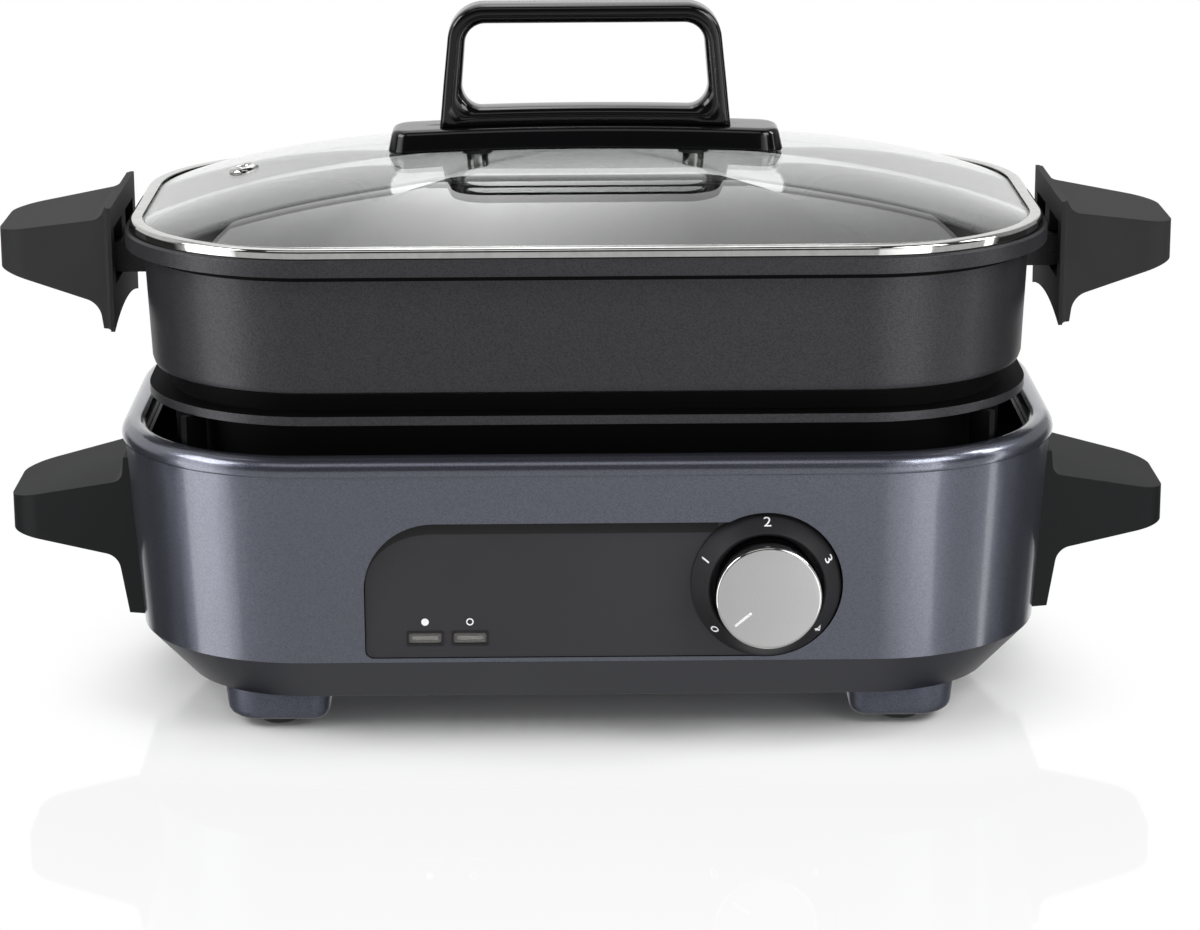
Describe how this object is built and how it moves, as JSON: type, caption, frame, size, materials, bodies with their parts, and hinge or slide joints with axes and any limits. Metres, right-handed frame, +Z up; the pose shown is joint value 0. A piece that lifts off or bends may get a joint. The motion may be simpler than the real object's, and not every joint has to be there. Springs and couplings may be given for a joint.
{
  "type": "multicooker",
  "caption": "Countertop multicooker: rounded rectangular heated base with dial and feet, lift-out deep pan with side handles, and a lift-off domed glass lid with a bow handle.",
  "frame": {"origin": "on the table plane, under the middle of the base's rounded rectangle", "axes": "+X to the right along the long side, front with the knob towards -Y, +Z up"},
  "size_m": [0.454, 0.2301, 0.2688],
  "materials": {
    "metallic_paint": "satin metallic blue-grey paint on a moulding",
    "dark_moulding": "fine matt moulding",
    "black_moulding": "matt heat-proof moulding",
    "grip_moulding": "matt charcoal heat-proof moulding",
    "gloss_black": "gloss black moulding",
    "panel_film": "satin charcoal panel",
    "enamelled_steel": "black heat-proof enamel",
    "nonstick_casting": "dark grey non-stick coating with fine sparkle",
    "bright_steel": "polished",
    "plain_steel": "zinc plated",
    "satin_cap": "satin face, polished edge",
    "heater_sheath": "heat-darkened sheath",
    "tempered_glass": "clear tempered glass",
    "lens": "smoky translucent lens",
    "soft_rubber": "matt black",
    "ceramic": "unglazed",
    "pointer_mark": "pale mark",
    "board": "solder mask"
  },
  "bodies": {
    "base": {"base_housing": "metallic_paint", "top_ring": "metallic_paint", "bottom_cover": "dark_moulding", "well_tray": "enamelled_steel", "tray_screws": "plain_steel", "cover_screws": "plain_steel", "foot_blocks": "metallic_paint", "rubber_feet": "soft_rubber", "control_panel": "panel_film", "dial_bezel": "dark_moulding", "power_light": "lens", "ready_light": "lens", "indicator_board": "board", "thermostat": "plain_steel", "thermostat_nut": "plain_steel", "heating_element": "heater_sheath", "element_clips": "plain_steel", "element_insulators": "ceramic", "sensor_guide": "plain_steel", "sensor_spring": "plain_steel", "thermal_fuse": "plain_steel", "terminal_block": "ceramic", "cord_gland": "black_moulding", "base_handle_left": "black_moulding", "base_handle_right": "black_moulding", "base_handle_screws": "plain_steel"},
    "knob": {"thermostat_shaft": "plain_steel", "knob_base": "black_moulding", "knob_cap": "satin_cap", "knob_pointer": "pointer_mark"},
    "sensor": {"sensor_plunger": "plain_steel"},
    "pan": {"pan": "nonstick_casting", "pan_handle_left": "grip_moulding", "pan_handle_right": "grip_moulding", "pan_handle_screws": "plain_steel"},
    "lid": {"lid_glass": "tempered_glass", "lid_rim": "bright_steel", "steam_vent": "bright_steel", "lid_handle_plate": "gloss_black", "lid_handle": "gloss_black", "lid_screws": "plain_steel", "lid_washers": "soft_rubber"}
  },
  "joints": [
    {"name": "knob_turn", "type": "hinge", "parent": "base", "child": "knob", "pos_m": [0.066, -0.1013, 0.065], "axis": [0, 1, 0], "range_deg": [0, 260]},
    {"name": "sensor_press", "type": "slide", "parent": "base", "child": "sensor", "axis": [0, 0, 1], "range_m": [-0.003, 0], "stiffness_N_per_m": 300, "springref_m": 0.004, "deforming": ["sensor_spring"]},
    {"name": "pan_lift", "type": "slide", "parent": "base", "child": "pan", "axis": [0, 0, 1], "range_m": [0, 0.12]},
    {"name": "lid_lift", "type": "slide", "parent": "pan", "child": "lid", "axis": [0, 0, 1], "range_m": [0, 0.12]}
  ]
}
